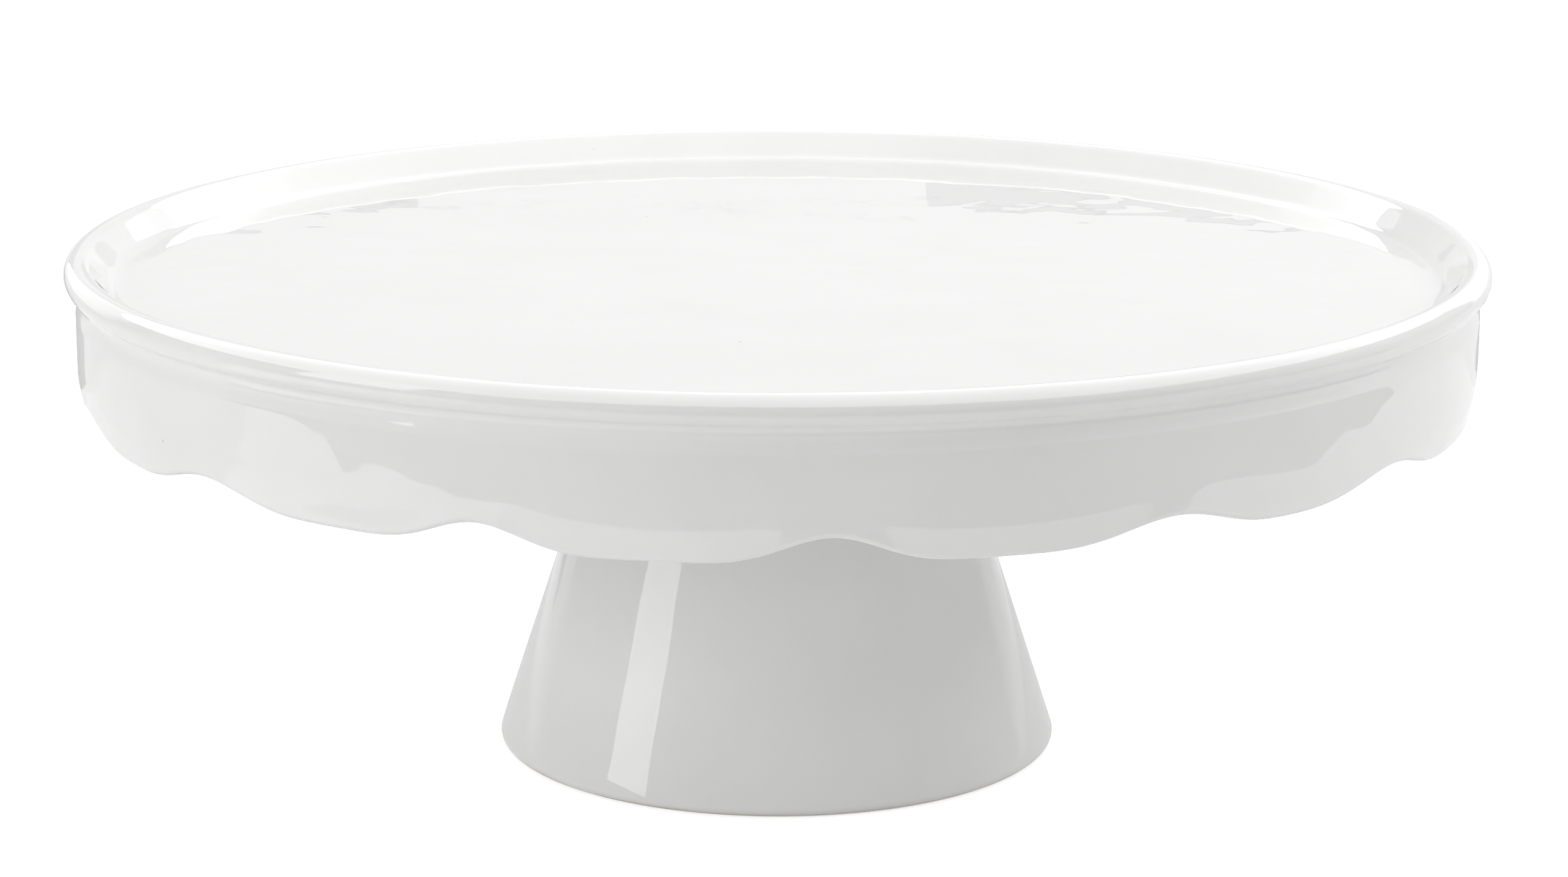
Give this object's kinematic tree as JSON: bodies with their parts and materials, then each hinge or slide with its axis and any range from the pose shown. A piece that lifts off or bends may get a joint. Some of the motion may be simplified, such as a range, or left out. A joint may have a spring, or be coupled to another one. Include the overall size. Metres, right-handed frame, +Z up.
{
  "type": "cake stand",
  "caption": "Round glazed cake stand: a flat plate with a rolled rim and a scalloped skirt, clamped to a hollow conical pedestal by a stud and a wing nut.",
  "frame": {"origin": "on the table surface, on the stand's own axis", "axes": "+Z up along the axis of the plate and pedestal; -Y to the front, where one notch between two scallops faces"},
  "size_m": [0.3, 0.3, 0.1092],
  "materials": {
    "glaze": "glossy clear glaze over white stoneware, slightly uneven, with an unglazed foot",
    "silicone": "translucent pale silicone, satin",
    "rubber": "matt black rubber",
    "steel": "satin stainless steel",
    "epoxy": "cast epoxy resin, slightly glossy"
  },
  "bodies": {
    "stand": {"plate": "glaze", "pedestal": "glaze", "seat_gasket": "silicone", "centre_stud": "steel", "stud_potting": "epoxy"},
    "washers": {"rubber_washer": "rubber", "steel_washer": "steel"},
    "wing_nut": {"wing_nut": "steel"}
  },
  "joints": [
    {"name": "nut_travel", "type": "slide", "parent": "stand", "child": "washers", "axis": [0, 0, -1], "range_m": [0, 0.02]},
    {"name": "nut_spin", "type": "hinge", "parent": "washers", "child": "wing_nut", "pos_m": [0, 0, 0.07], "axis": [0, 0, -1], "range_deg": [0, 5760]}
  ],
  "couplings": [
    {"joint": "nut_travel", "follows": "nut_spin", "m_per_rad": 0.00019894}
  ]
}
